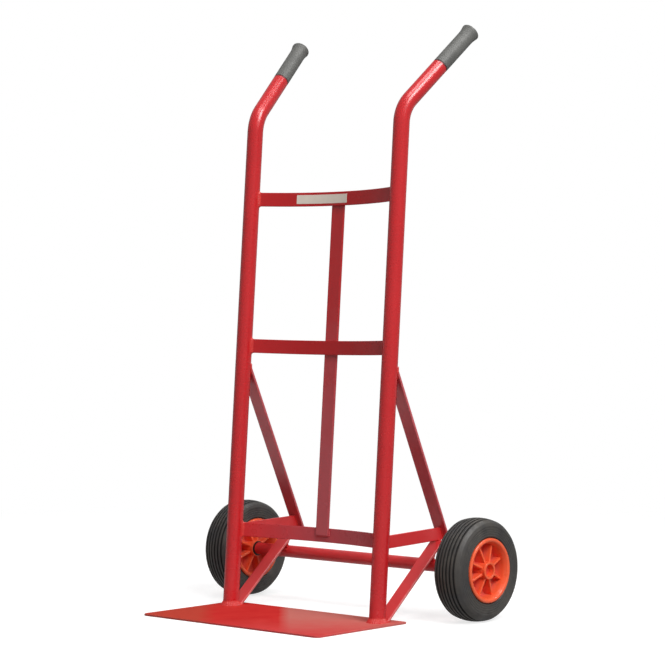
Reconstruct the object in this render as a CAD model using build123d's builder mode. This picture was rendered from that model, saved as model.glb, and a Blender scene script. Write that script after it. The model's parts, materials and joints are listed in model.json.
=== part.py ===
from build123d import *
from math import asin, atan2, cos, degrees, radians, sin, sqrt, tan
import os

# Sack truck. X runs across the truck, +Y to the rear and +Z up. The origin is on the floor,
# on the underside of the toe plate, midway between the feet of the two stiles.

# Stiles: round tubes, raked back, that bend back and outwards into the handles
stile_spacing = 390.0
stile_rake = 4.3
tube_diameter = 32.0
tube_wall = 2.5
bend_height = 990.0
bend_radius = 70.0
handle_length = 130.0
handle_tilt = 47.0
handle_splay = 8.0

# Handle inserts and grips
insert_depth = 60.0
insert_wall = 2.0
grip_length = 109.0
grip_wall = 2.0
grip_end_wall = 5.0
grip_flare_diameter = 39.0
grip_flare_length = 24.0
grip_lip = 3.0
grip_dome = 2.5

# Cross bars, bowed back between the stiles, and the strip down their middle
bar_height = 28.0
bar_thickness = 5.0
upper_bar_height = 826.0
middle_bar_height = 528.0
lower_bar_height = 157.0
upper_bow = 43.5
strip_width = 32.0
strip_thickness = 5.0
strip_end_margin = 2.0
strip_foot_margin = 13.0

# Toe plate
toe_overhang = 37.5
toe_front = 211.0
toe_rear = 46.0
toe_thickness = 4.0
toe_front_radius = 12.0
toe_rear_radius = 6.0
toe_edge_break = 0.8

# Side frames: flat member on edge, two straps as braces and a short strap that carries the axle
member_height = 25.0
member_thickness = 5.0
member_clearance = 54.0
member_rise = 6.0
member_overhang = 37.0
strap_width = 30.0
strap_thickness = 5.0
upper_brace_height = 465.0
lower_brace_foot = 19.0
hanger_gap = 7.0
hanger_lead = 9.0

# Axle
axle_setback = 163.0
axle_tube_diameter = 25.0
axle_tube_wall = 4.0
shaft_diameter = 16.0
shaft_chamfer = 1.0
ring_groove_depth = 0.5

# Washers and retaining rings
inner_washer_diameter = 30.0
inner_washer_thickness = 2.0
outer_washer_diameter = 23.0
outer_washer_thickness = 1.5
ring_thickness = 1.0
ring_band = 2.4
ring_gap_angle = 34.0
ring_lug_diameter = 3.6
ring_lug_hole = 1.5

# Wheels
wheel_diameter = 200.0
wheel_track = 616.0
hub_length = 66.0
hub_diameter = 34.0
hub_bore = 24.0
bush_length = 17.0
cap_recess = 12.0
cap_thickness = 2.0
cap_skirt = 3.5
cap_wall = 1.6

# Rim: barrel with two flanges, web in the middle and radial ribs on both sides of the web
flange_diameter = 125.0
flange_thickness = 6.0
flange_bore = 112.0
flange_lip = 2.4
rim_width = 69.0
barrel_diameter = 108.0
barrel_wall = 4.0
barrel_draft = 2.0
bowl_depth = 9.0
web_thickness = 7.0
rib_count = 8
rib_thickness = 4.4
rib_phase = 22.5
rib_hub_drop = 6.0
rib_barrel_drop = 12.0

# Tyre: solid rubber with a grooved tread
tyre_width = 65.0
tread_width = 48.0
tread_flat = 24.0
tread_crown = 3.5
shoulder_width = 60.0
shoulder_drop = 8.0
shoulder_height = 14.0
groove_count = 6
groove_pitch = 8.0
groove_width = 4.0
groove_depth = 2.2
bead_gap = 1.2
bead_step = 2.0

# Clearances
weld_gap = 0.05
fit_gap = 0.05
running_gap = 0.05
axial_play = 0.3
washer_gap = 0.25
ring_play = 0.2
cap_clearance = 1.0

# Worked-out sizes
rake = radians(stile_rake)
tilt = radians(handle_tilt)
splay = radians(handle_splay)
half_spacing = stile_spacing / 2
tube_radius = tube_diameter / 2
stile_direction = Vector(0, sin(rake), cos(rake))

insert_diameter = tube_diameter - 2 * tube_wall - 2 * fit_gap
grip_bore_radius = insert_diameter / 2 + fit_gap
grip_radius = grip_bore_radius + grip_wall
grip_bore_depth = grip_length - grip_end_wall
insert_reach = grip_bore_depth - fit_gap

toe_width = stile_spacing + 2 * toe_overhang

strip_front = upper_bow + bar_thickness / 2 + weld_gap
strip_back = strip_front + strip_thickness
lower_bow_flat = strip_back + bar_thickness / 2
lower_bow_radius = (half_spacing**2 + lower_bow_flat**2) / (2 * lower_bow_flat) - bar_thickness / 2
strip_seat = lower_bow_radius - sqrt(lower_bow_radius**2 - (strip_width / 2) ** 2)
lower_bow = lower_bow_flat + strip_seat + weld_gap

wheel_radius = wheel_diameter / 2
wheel_offset = wheel_track / 2
hub_half = hub_length / 2
bore_radius = hub_bore / 2
shaft_radius = shaft_diameter / 2

# Stack along the hub, as distances outwards from the middle plane of the wheel
cap_face = hub_half - cap_recess
cap_inside = cap_face - cap_thickness
cap_mouth = cap_inside - cap_skirt
ring_outer = cap_mouth - cap_clearance
ring_inner = ring_outer - ring_thickness
washer_outer = ring_inner - ring_play
washer_inner = washer_outer - outer_washer_thickness
outer_bush_end = washer_inner - axial_play
shaft_end = cap_inside - cap_clearance
axle_tube_half = wheel_offset - hub_half - axial_play - inner_washer_thickness

member_level = wheel_radius + member_clearance
member_reach = axle_setback + member_overhang
member_slope = member_rise / member_reach
member_front = member_level * tan(rake)
member_top = member_level + member_height / 2
member_bottom = member_level - member_height / 2
member_underside = Plane(origin=(0, 0, member_bottom), x_dir=(1, 0, 0), z_dir=(0, -member_slope, 1))

SIDES = (("left", -1), ("right", 1))

os.makedirs("parts", exist_ok=True)


def save(part, label):
    """Labels a finished piece and writes it to its own file."""
    part.label = label
    export_step(part, f"parts/{label}.step")


def level_plane(height):
    """Plane square to the stiles, at the height where it meets their centre lines."""
    return Plane(origin=(0, height * tan(rake), height), x_dir=(1, 0, 0), z_dir=stile_direction)


def stile_back(height):
    """Y of the rear of the stiles at a height, in the plane of their centre lines."""
    return height * tan(rake) + tube_radius / cos(rake)


def stile_meeting(point, direction):
    """Point where a line in a side plane meets the centre line of the stile."""
    travel = (point.Y * tan(rake) - point.X) / (direction.X - direction.Y * tan(rake))
    return point + direction * travel


def side_plane(side):
    """Vertical plane through a stile, with Y across it and Z up it."""
    return Plane.YZ.offset(side * half_spacing)


def stile_cutter(side):
    """Sketch of a stile's outside, as the tube that pieces welded to it are cut to fit."""
    with BuildSketch(level_plane(0)) as outline:
        with Locations((side * half_spacing, 0)):
            Circle(tube_radius + weld_gap)
    return outline.sketch


def axle_plane(side, offset):
    """Plane square to the axle, facing outwards, at an offset from the middle of a wheel."""
    place = (side * (wheel_offset + offset), axle_setback, wheel_radius)
    return Plane(origin=place, x_dir=(0, side, 0), z_dir=(side, 0, 0))


def wheel_section(side):
    """Plane through the axle, with X outwards from the middle of a wheel and Y its radius."""
    place = (side * wheel_offset, axle_setback, wheel_radius)
    return Plane(origin=place, x_dir=(side, 0, 0), z_dir=(0, -side, 0))


def wheel_axis(side):
    """Axis that a wheel turns on, pointing outwards."""
    return Axis((side * wheel_offset, axle_setback, wheel_radius), (side, 0, 0))


# Stiles, handle inserts and grips
for side_name, side in SIDES:
    stile_foot = Vector(side * half_spacing, 0, 0)
    bend_point = Vector(side * half_spacing, bend_height * tan(rake), bend_height)
    handle_direction = Vector(side * sin(splay), cos(splay) * sin(tilt), cos(splay) * cos(tilt))
    handle_end = bend_point + handle_direction * handle_length
    handle_side = handle_direction.cross(Vector(0, 0, 1)).normalized()
    grip_section = Plane(origin=handle_end, x_dir=handle_side, z_dir=handle_side.cross(handle_direction))

    with BuildPart() as stile:
        with BuildLine() as stile_path:
            FilletPolyline(
                stile_foot - stile_direction * tube_diameter,
                bend_point,
                handle_end,
                radius=bend_radius,
            )
        with BuildSketch(Plane(origin=stile_path.line @ 0, z_dir=stile_path.line % 0)):
            Circle(tube_radius)
            Circle(tube_radius - tube_wall, mode=Mode.SUBTRACT)
        sweep()
        split(bisect_by=Plane.XY.offset(toe_thickness), keep=Keep.TOP)
    save(stile.part, f"{side_name}_stile")

    with BuildPart() as handle_insert:
        insert_start = handle_end - handle_direction * insert_depth
        with BuildSketch(Plane(origin=insert_start, z_dir=handle_direction)):
            Circle(insert_diameter / 2)
            Circle(insert_diameter / 2 - insert_wall, mode=Mode.SUBTRACT)
        extrude(amount=insert_depth + insert_reach)
    save(handle_insert.part, f"{side_name}_handle_insert")

    with BuildPart() as grip:
        with BuildSketch(grip_section):
            with BuildLine():
                flare_start = grip_length - grip_flare_length
                lip_start = grip_length - grip_dome - grip_lip
                flare_radius = grip_flare_diameter / 2
                Polyline((0, grip_bore_depth), (grip_bore_radius, grip_bore_depth), (grip_bore_radius, 0))
                Line((grip_bore_radius, 0), (grip_radius, 0))
                Line((grip_radius, 0), (grip_radius, flare_start))
                TangentArc((grip_radius, flare_start), (flare_radius, lip_start), tangent=(0, 1))
                Line((flare_radius, lip_start), (flare_radius, grip_length - grip_dome))
                TangentArc((0, grip_length), (flare_radius, grip_length - grip_dome), tangent=(1, 0))
                Line((0, grip_length), (0, grip_bore_depth))
            make_face()
        revolve(axis=Axis(handle_end, handle_direction))
    save(grip.part, f"{side_name}_grip")

# Cross bars, cut to fit the stiles
crossbars = (
    ("upper", upper_bar_height, upper_bow),
    ("middle", middle_bar_height, upper_bow),
    ("lower", lower_bar_height, lower_bow),
)
for bar_name, bar_level, bow in crossbars:
    arc_radius = (half_spacing**2 + bow**2) / (2 * bow)
    arc_half_angle = degrees(asin(half_spacing / arc_radius))
    arc_centre = (0, bow - arc_radius)
    arc_start = 90 - arc_half_angle

    with BuildPart() as crossbar:
        with BuildSketch(level_plane(bar_level)):
            with BuildLine():
                rear = CenterArc(arc_centre, arc_radius + bar_thickness / 2, arc_start, 2 * arc_half_angle)
                front = CenterArc(arc_centre, arc_radius - bar_thickness / 2, arc_start, 2 * arc_half_angle)
                Line(rear @ 0, front @ 0)
                Line(rear @ 1, front @ 1)
            make_face()
        extrude(amount=bar_height / 2, both=True)
        with BuildSketch(level_plane(bar_level)):
            with Locations((-half_spacing, 0), (half_spacing, 0)):
                Circle(tube_radius + weld_gap)
        extrude(amount=bar_height, both=True, mode=Mode.SUBTRACT)
    save(crossbar.part, f"{bar_name}_crossbar")

# Centre strip, behind the upper and middle bars and in front of the lower one
strip_top = upper_bar_height / cos(rake) + bar_height / 2 - strip_end_margin
strip_foot = lower_bar_height / cos(rake) - bar_height / 2 + strip_foot_margin
with BuildPart() as centre_strip:
    with BuildSketch(level_plane(0).offset(strip_foot)):
        with Locations((0, (strip_front + strip_back) / 2)):
            Rectangle(strip_width, strip_thickness)
    extrude(amount=strip_top - strip_foot)
save(centre_strip.part, "centre_strip")

# Toe plate
with BuildPart() as toe_plate:
    with BuildSketch() as toe_outline:
        with Locations((0, (toe_rear - toe_front) / 2)):
            Rectangle(toe_width, toe_front + toe_rear)
        fillet(toe_outline.vertices().group_by(Axis.Y)[0], toe_front_radius)
        fillet(toe_outline.vertices().group_by(Axis.Y)[-1], toe_rear_radius)
    extrude(amount=toe_thickness)
    chamfer(toe_plate.faces().sort_by(Axis.Z)[-1].edges(), toe_edge_break)
save(toe_plate.part, "toe_plate")

# Side frames. The members rise a little to the rear. The front face of the upper brace runs from
# its head, on the back of the stile, to the lower rear corner of the side member.
brace_head = Vector(stile_back(upper_brace_height), upper_brace_height)
brace_foot = Vector(member_reach, member_bottom + member_rise)
brace_rise = (brace_head - brace_foot).normalized()
brace_step = strap_thickness / brace_rise.Y
brace_lean = brace_rise.X / brace_rise.Y
brace_end = stile_meeting(brace_foot, brace_rise)
member_end = brace_foot + Vector(brace_lean, 1) * (member_height / (1 - member_slope * brace_lean))

# The rear face of the lower brace rises from the toe plate, passes above the axle tube by the gap
# that the hanger fills, and ends at the underside of the side member.
lower_foot = Vector(lower_brace_foot, toe_thickness)
foot_to_axle = Vector(axle_setback, wheel_radius) - lower_foot
axle_bearing = atan2(foot_to_axle.Y, foot_to_axle.X)
lower_angle = axle_bearing + asin((axle_tube_diameter / 2 + hanger_gap) / foot_to_axle.length)
lower_rise = Vector(cos(lower_angle), sin(lower_angle))
lower_headroom = member_bottom + member_slope * lower_foot.X - lower_foot.Y
lower_head = lower_foot + lower_rise * (lower_headroom / (lower_rise.Y - member_slope * lower_rise.X))
lower_step = Vector(strap_thickness / lower_rise.Y, 0)
lower_overrun = lower_rise * member_height
lower_rear = Plane(
    origin=(0, lower_foot.X, lower_foot.Y),
    x_dir=(1, 0, 0),
    z_dir=(0, -lower_rise.Y, lower_rise.X),
)

for side_name, side in SIDES:
    with BuildPart() as side_member:
        with BuildSketch(side_plane(side)):
            with BuildLine():
                Polyline(
                    (member_front, member_bottom + member_slope * member_front),
                    brace_foot - Vector(weld_gap, 0),
                    member_end - Vector(weld_gap, 0),
                    (member_front, member_top + member_slope * member_front),
                    close=True,
                )
            make_face()
        extrude(amount=member_thickness / 2, both=True)
        extrude(stile_cutter(side), amount=bend_height, mode=Mode.SUBTRACT)
    save(side_member.part, f"{side_name}_side_member")

    with BuildPart() as upper_brace:
        with BuildSketch(side_plane(side)):
            with BuildLine():
                Polyline(
                    brace_foot,
                    brace_foot + Vector(brace_step, 0),
                    brace_end + Vector(brace_step, 0),
                    brace_end,
                    close=True,
                )
            make_face()
        extrude(amount=strap_width / 2, both=True)
        extrude(stile_cutter(side), amount=bend_height, mode=Mode.SUBTRACT)
    save(upper_brace.part, f"{side_name}_upper_brace")

    with BuildPart() as lower_brace:
        with BuildSketch(side_plane(side)):
            with BuildLine():
                Polyline(
                    lower_foot,
                    lower_head,
                    lower_head + lower_overrun - lower_step,
                    lower_foot - lower_step,
                    close=True,
                )
            make_face()
        extrude(amount=strap_width / 2, both=True)
        extrude(stile_cutter(side), amount=bend_height, both=True, mode=Mode.SUBTRACT)
        split(bisect_by=member_underside, keep=Keep.BOTTOM)
    save(lower_brace.part, f"{side_name}_lower_brace")

    with BuildPart() as axle_hanger:
        with BuildSketch(side_plane(side)):
            with Locations((axle_setback - hanger_lead, wheel_radius)):
                Rectangle(strap_thickness, member_top - wheel_radius, align=(Align.CENTER, Align.MIN))
            with Locations((axle_setback, wheel_radius)):
                Circle(axle_tube_diameter / 2 + weld_gap, mode=Mode.SUBTRACT)
        extrude(amount=strap_width / 2, both=True)
        split(bisect_by=lower_rear.offset(-weld_gap), keep=Keep.BOTTOM)
    save(axle_hanger.part, f"{side_name}_axle_hanger")

# Axle tube and the shaft through it
with BuildPart() as axle_tube:
    with BuildSketch(axle_plane(1, -wheel_offset)):
        Circle(axle_tube_diameter / 2)
        Circle(axle_tube_diameter / 2 - axle_tube_wall, mode=Mode.SUBTRACT)
    extrude(amount=axle_tube_half, both=True)
save(axle_tube.part, "axle_tube")

with BuildPart() as axle_shaft:
    with BuildSketch(axle_plane(1, -wheel_offset)):
        Circle(shaft_radius)
    extrude(amount=wheel_offset + shaft_end, both=True)
    chamfer(axle_shaft.edges().filter_by(GeomType.CIRCLE), shaft_chamfer)
    for side_name, side in SIDES:
        with BuildSketch(axle_plane(side, ring_inner - ring_play / 2)):
            Circle(shaft_radius + shaft_chamfer)
            Circle(shaft_radius - ring_groove_depth, mode=Mode.SUBTRACT)
        extrude(amount=ring_thickness + ring_play, mode=Mode.SUBTRACT)
save(axle_shaft.part, "axle_shaft")

# Washers, retaining rings, bushes and hub caps
for side_name, side in SIDES:
    with BuildPart() as inner_washer:
        with BuildSketch(axle_plane(side, -hub_half - axial_play - inner_washer_thickness)):
            Circle(inner_washer_diameter / 2)
            Circle(shaft_radius + washer_gap, mode=Mode.SUBTRACT)
        extrude(amount=inner_washer_thickness)
    save(inner_washer.part, f"{side_name}_inner_washer")

    with BuildPart() as outer_washer:
        with BuildSketch(axle_plane(side, washer_inner)):
            Circle(outer_washer_diameter / 2)
            Circle(shaft_radius + washer_gap, mode=Mode.SUBTRACT)
        extrude(amount=outer_washer_thickness)
    save(outer_washer.part, f"{side_name}_outer_washer")

    with BuildPart() as retaining_ring:
        ring_bore = shaft_radius - ring_groove_depth + fit_gap
        ring_middle = ring_bore + ring_band / 2
        lug_angle = ring_gap_angle / 2 + degrees(asin(ring_lug_diameter / 2 / ring_middle))
        with BuildSketch(axle_plane(side, ring_inner)):
            Circle(ring_bore + ring_band)
            with BuildLine():
                gap_reach = 2 * (ring_bore + ring_band)
                gap_start = PolarLine((0, 0), gap_reach, -ring_gap_angle / 2)
                gap_end = PolarLine((0, 0), gap_reach, ring_gap_angle / 2)
                Line(gap_start @ 1, gap_end @ 1)
            make_face(mode=Mode.SUBTRACT)
            lug_places = PolarLocations(ring_middle, 2, -lug_angle, 2 * lug_angle, endpoint=True)
            with lug_places:
                Circle(ring_lug_diameter / 2)
            Circle(ring_bore, mode=Mode.SUBTRACT)
            with lug_places:
                Circle(ring_lug_hole / 2, mode=Mode.SUBTRACT)
        extrude(amount=ring_thickness)
    save(retaining_ring.part, f"{side_name}_retaining_ring")

    for bush_name, bush_start in (("inner", -hub_half), ("outer", outer_bush_end - bush_length)):
        with BuildPart() as bush:
            with BuildSketch(axle_plane(side, bush_start)):
                Circle(bore_radius - fit_gap)
                Circle(shaft_radius + running_gap, mode=Mode.SUBTRACT)
            extrude(amount=bush_length)
        save(bush.part, f"{side_name}_{bush_name}_bush")

    with BuildPart() as hub_cap:
        with BuildSketch(axle_plane(side, cap_mouth)):
            Circle(bore_radius - fit_gap)
        extrude(amount=cap_face - cap_mouth)
        with BuildSketch(axle_plane(side, cap_mouth)):
            Circle(bore_radius - fit_gap - cap_wall)
        extrude(amount=cap_skirt, mode=Mode.SUBTRACT)
    save(hub_cap.part, f"{side_name}_hub_cap")

# Rims
barrel_radius = barrel_diameter / 2
barrel_inside = barrel_radius - barrel_wall
flange_radius = flange_diameter / 2
flange_bore_radius = flange_bore / 2
rim_half = rim_width / 2
flange_inner = rim_half - flange_thickness
bowl_foot = rim_half - bowl_depth
hub_radius = hub_diameter / 2

for side_name, side in SIDES:
    with BuildPart() as rim:
        rib_length = barrel_inside - bore_radius
        with BuildSketch(axle_plane(side, 0)):
            with PolarLocations(bore_radius + rib_length / 2, rib_count, start_angle=rib_phase):
                Rectangle(rib_length, rib_thickness)
        extrude(amount=rim_half, both=True)
        with BuildSketch(wheel_section(side)):
            with BuildLine():
                Polyline(
                    (hub_half - rib_hub_drop, bore_radius + fit_gap),
                    (hub_half - rib_hub_drop, hub_radius),
                    (rim_half - rib_barrel_drop, barrel_inside),
                    (-rim_half + rib_barrel_drop, barrel_inside),
                    (-hub_half + rib_hub_drop, hub_radius),
                    (-hub_half + rib_hub_drop, bore_radius + fit_gap),
                    close=True,
                )
            make_face()
        revolve(axis=wheel_axis(side), mode=Mode.INTERSECT)
        with BuildSketch(wheel_section(side)):
            with Locations((0, (bore_radius + hub_radius) / 2)):
                Rectangle(hub_length, hub_radius - bore_radius)
            with Locations((0, (hub_radius + barrel_radius) / 2)):
                Rectangle(web_thickness, barrel_radius - hub_radius)
            for face in (-1, 1):
                with BuildLine():
                    Polyline(
                        (0, barrel_radius),
                        (face * flange_inner, barrel_radius),
                        (face * flange_inner, flange_radius),
                        (face * (rim_half - flange_lip), flange_radius),
                        (face * rim_half, flange_radius - flange_lip),
                        (face * rim_half, flange_bore_radius + flange_lip),
                        (face * (rim_half - flange_lip), flange_bore_radius),
                        (face * bowl_foot, barrel_inside + barrel_draft),
                        (0, barrel_inside),
                        close=True,
                    )
                make_face()
        revolve(axis=wheel_axis(side))
    save(rim.part, f"{side_name}_rim")

# Tyres
tyre_half = tyre_width / 2
tread_half = tread_width / 2
tread_edge = wheel_radius - tread_crown
crown_half = tread_flat / 2
crown_slope = tread_crown / (tread_half - crown_half)
shoulder_start = wheel_radius - shoulder_height
seat_radius = barrel_radius + fit_gap
seat_half = flange_inner - fit_gap
bead_radius = flange_radius + bead_gap

for side_name, side in SIDES:
    with BuildPart() as tyre:
        with BuildSketch(wheel_section(side)):
            with BuildLine():
                for face in (-1, 1):
                    Polyline(
                        (0, wheel_radius),
                        (face * crown_half, wheel_radius),
                        (face * tread_half, tread_edge),
                        (face * shoulder_width / 2, wheel_radius - shoulder_drop),
                        (face * tyre_half, shoulder_start),
                        (face * tyre_half, bead_radius + bead_step),
                        (face * (tyre_half - bead_step), bead_radius),
                        (face * seat_half, bead_radius),
                        (face * seat_half, seat_radius),
                        (0, seat_radius),
                    )
            make_face()
            for groove in range(groove_count):
                groove_place = (groove - (groove_count - 1) / 2) * groove_pitch
                groove_drop = crown_slope * max(0, abs(groove_place) - crown_half)
                groove_floor = wheel_radius - groove_drop - groove_depth
                with BuildLine():
                    Polyline(
                        (groove_place - groove_width, groove_floor + 2 * groove_depth),
                        (groove_place, groove_floor),
                        (groove_place + groove_width, groove_floor + 2 * groove_depth),
                        close=True,
                    )
                make_face(mode=Mode.SUBTRACT)
        revolve(axis=wheel_axis(side))
    save(tyre.part, f"{side_name}_tyre")
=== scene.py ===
import json
from math import asin, atan2, cos, pi, radians, sin, sqrt, tan

import bmesh
import bpy
from mathutils import Matrix, Vector


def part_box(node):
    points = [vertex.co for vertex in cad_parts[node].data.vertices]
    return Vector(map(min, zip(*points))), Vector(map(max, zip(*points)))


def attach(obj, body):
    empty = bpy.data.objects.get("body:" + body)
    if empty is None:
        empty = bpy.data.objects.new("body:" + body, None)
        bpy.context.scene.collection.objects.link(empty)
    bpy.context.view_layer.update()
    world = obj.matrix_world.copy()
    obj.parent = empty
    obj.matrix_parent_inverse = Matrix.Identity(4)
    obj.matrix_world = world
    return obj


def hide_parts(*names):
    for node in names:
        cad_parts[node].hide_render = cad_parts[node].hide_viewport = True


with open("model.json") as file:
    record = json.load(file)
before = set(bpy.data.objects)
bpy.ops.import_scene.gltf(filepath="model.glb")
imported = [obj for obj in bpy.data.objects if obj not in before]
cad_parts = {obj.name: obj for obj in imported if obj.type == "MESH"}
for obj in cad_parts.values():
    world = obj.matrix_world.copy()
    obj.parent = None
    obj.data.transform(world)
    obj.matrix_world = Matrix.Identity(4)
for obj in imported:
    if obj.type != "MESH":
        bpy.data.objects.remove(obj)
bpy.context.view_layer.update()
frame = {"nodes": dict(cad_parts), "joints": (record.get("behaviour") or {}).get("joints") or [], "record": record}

# Sizes in metres, as in the CAD model. X runs across the truck, +Y to the rear and +Z up.
HALF_SPACING = 0.195
RAKE = radians(4.3)
TUBE_RADIUS = 0.016
TUBE_BORE = 0.0135
BEND_HEIGHT = 0.990
BEND_RADIUS = 0.070
HANDLE_LENGTH = 0.130
HANDLE_TILT = radians(47)
HANDLE_SPLAY = radians(8)

GRIP_LENGTH = 0.109
GRIP_BORE = 0.0135
GRIP_RADIUS = 0.0162
GRIP_END_WALL = 0.005
GRIP_FLARE_RADIUS = 0.0186
GRIP_FLARE_LENGTH = 0.024
GRIP_LIP = 0.003
GRIP_DOME = 0.0025

BAR_HEIGHT = 0.028
BAR_THICKNESS = 0.005
BARS = {"upper": (0.826, 0.0435), "middle": (0.528, 0.0435), "lower": (0.157, 0.0539)}
STRIP_WIDTH = 0.032
STRIP_THICKNESS = 0.005
STRIP_FRONT = 0.04605
STRIP_MARGIN = 0.002
STRIP_FOOT_MARGIN = 0.013

TOE_FRONT_RADIUS = 0.012
TOE_REAR_RADIUS = 0.006

MEMBER_HEIGHT = 0.025
MEMBER_THICKNESS = 0.005
MEMBER_LEVEL = 0.154
MEMBER_RISE = 0.006
MEMBER_REACH = 0.200
STRAP_WIDTH = 0.030
STRAP_THICKNESS = 0.005
UPPER_BRACE_HEIGHT = 0.465
LOWER_BRACE_FOOT = 0.019
HANGER_GAP = 0.007
HANGER_LEAD = 0.009

AXLE_TUBE_RADIUS = 0.0125
AXLE_TUBE_BORE = 0.0085

HUB_HALF = 0.033
HUB_RADIUS = 0.017
HUB_BORE = 0.01205
FLANGE_RADIUS = 0.0625
FLANGE_BORE = 0.056
FLANGE_INNER = 0.0285
RIM_HALF = 0.0345
BARREL_RADIUS = 0.054
BARREL_INSIDE = 0.050
BARREL_DRAFT = 0.002
BOWL_FOOT = 0.0255
WEB_HALF = 0.0035
RIB_COUNT = 8
RIB_THICKNESS = 0.0044
RIB_PHASE = radians(22.5)
RIB_HUB_DROP = 0.006
RIB_BARREL_DROP = 0.012

TYRE_HALF = 0.0325
TREAD_HALF = 0.024
TREAD_CROWN = 0.0035
SHOULDER_HALF = 0.0300
SHOULDER_DROP = 0.008
SHOULDER_HEIGHT = 0.014
GROOVE_COUNT = 6
GROOVE_PITCH = 0.008
GROOVE_WIDTH = 0.0042
GROOVE_DEPTH = 0.0022
SIDE_RING_COUNT = 4
SIDE_RING_PITCH = 0.0046
SIDE_RING_WIDTH = 0.0024
SIDE_RING_DEPTH = 0.0007
BEAD_GAP = 0.0012
BEAD_STEP = 0.002

# Finish of the edges and seams
BAR_EDGE = 0.0010
STRAP_EDGE = 0.0011
EDGE_SLOPE = 0.3
PLATE_EDGE = 0.0009
TUBE_END_EDGE = 0.0008
# Width of the dark band at the end of each stile's tube: a painted shadow where the grip meets the tube
SHADOW_BAND = 0.0022
SHADOW_BAND_START = TUBE_END_EDGE + SHADOW_BAND
RIB_EDGE = 0.0010
RIB_BITE = 0.001
GROOVE_EDGE = 0.0011
GROOVE_LIP = 0.0006
SIDE_RING_EDGE = 0.0008
WALL_BITE = 0.0012
FOOT_WELD_REACH = 0.0050
FOOT_WELD_HEIGHT = 0.0100
BAR_WELD = 0.0022
BAR_FILLET = 0.0055
BAR_FILLET_CORNER = 0.0020
STRAP_WELD = 0.0024
STRIP_SEAM_REACH = 0.010
RIPPLE_PITCH = 0.0035
RIPPLE_DEPTH = 0.10

# Rounded mouth of the grips, as (along, inset)
GRIP_MOUTH = ((0.0002, 0.0008), (0.0005, 0.0003), (0.0012, 0))

# Roundings of the hub plugs, with the dish in their face as shares of their radius
CAP_EDGE = 0.0010
CAP_DISH = 0.0006
CAP_DISH_TOP = 0.62
CAP_DISH_FOOT = 0.54

# Roundings of the rims and tyres
HUB_BORE_EDGE = 0.0008
HUB_EDGE = 0.0014
WEB_FILLET = 0.0040
BOWL_FILLET = 0.0180
FLANGE_BORE_EDGE = 0.0044
FLANGE_EDGE = 0.0032
FLANGE_INNER_EDGE = 0.0010
BARREL_EDGE = 0.0004
TREAD_EDGE = 0.0012
SHOULDER_EDGE = 0.0050
TYRE_SIDE_EDGE = 0.0030
BEAD_EDGE = 0.0010
BEAD_FOOT_EDGE = 0.0006

# Fineness of the meshes
TUBE_SIDES = 48
WHEEL_SEGMENTS = 144
SMALL_SEGMENTS = 64
RUN_STEPS = 12
BEND_STEPS = 24
LIP_STEPS = 2
GRIP_STEPS = 6
FLARE_STEPS = 8
BAR_STEPS = 48
CORNER_STEPS = 5
RIM_CORNER_STEPS = 7
PLATE_CORNER_STEPS = 10
CAP_CORNER_STEPS = 4
LABEL_STEPS = 24
LABEL_CORNER_STEPS = 6
EDGE_SEGMENTS = 3
ROUND_PROFILE = 0.5
SEAM_SIDES = 10
RIPPLE_STEPS = 5
OUTLINE_RIPPLE_STEPS = 4
FILLET_STEPS = 6
FOOT_RIPPLE_STEPS = 8
FOOT_FILLET_STEPS = 8
SMOOTH_ANGLE = radians(35)
TINY = 1e-9

# Blank label on the front of the upper bar
LABEL_START = -0.0985
LABEL_END = 0.0285
LABEL_HEIGHT = 0.018
LABEL_THICKNESS = 0.0003
LABEL_CORNER = 0.0012

SIDES = (("left", -1), ("right", 1))
STILE_WAY = Vector((0, sin(RAKE), cos(RAKE)))
TOE_LOW, TOE_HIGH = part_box("toe_plate")
WHEEL_PLACES = {joint["child"]: Vector(joint["pos_m"]) for joint in frame["joints"]}
AXLE = WHEEL_PLACES["right_wheel"]
WHEEL_RADIUS = AXLE.z


# Mesh helpers

def place(origin, x_way, z_way):
    """Matrix of a plane from its origin, its X direction and its normal."""
    x_way = Vector(x_way).normalized()
    z_way = Vector(z_way).normalized()
    rows = Matrix((x_way, z_way.cross(x_way), z_way)).transposed()
    return Matrix.Translation(Vector(origin)) @ rows.to_4x4()


def level_plane(height):
    """Plane square to the stiles, at the height where it meets their centre lines."""
    return place((0, height * tan(RAKE), height), (1, 0, 0), STILE_WAY)


def side_plane(side):
    """Vertical plane through a stile, with X to the rear and Y up."""
    return place((side * HALF_SPACING, 0, 0), (0, 1, 0), (1, 0, 0))


def quarter_turns(steps):
    """Angles from 0 to a quarter turn, in even steps."""
    return [pi / 2 * step / steps for step in range(steps + 1)]


def round_corners(corners, steps=CORNER_STEPS):
    """Outline of a closed polygon of (x, y, radius) corners, each rounded to its radius."""
    outline = []
    for index, (x, y, radius) in enumerate(corners):
        corner = Vector((x, y))
        if radius == 0:
            outline.append(corner)
            continue
        before = (Vector(corners[index - 1][:2]) - corner).normalized()
        after = (Vector(corners[(index + 1) % len(corners)][:2]) - corner).normalized()
        half_angle = before.angle(after) / 2
        centre = corner + (before + after).normalized() * (radius / sin(half_angle))
        start = corner + before * (radius / tan(half_angle)) - centre
        end = corner + after * (radius / tan(half_angle)) - centre
        for step in range(steps + 1):
            outline.append(centre + start.lerp(end, step / steps).normalized() * radius)
    return outline


def skin(bm, rings, closed=False):
    """Joins rings of vertices with faces; a ring of one vertex is a pole."""
    pairs = list(zip(rings, rings[1:]))
    if closed:
        pairs.append((rings[-1], rings[0]))
    for first, second in pairs:
        count = max(len(first), len(second))
        for here in range(count):
            there = (here + 1) % count
            corners = (
                first[here % len(first)],
                first[there % len(first)],
                second[there % len(second)],
                second[here % len(second)],
            )
            bm.faces.new(dict.fromkeys(corners))


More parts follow.
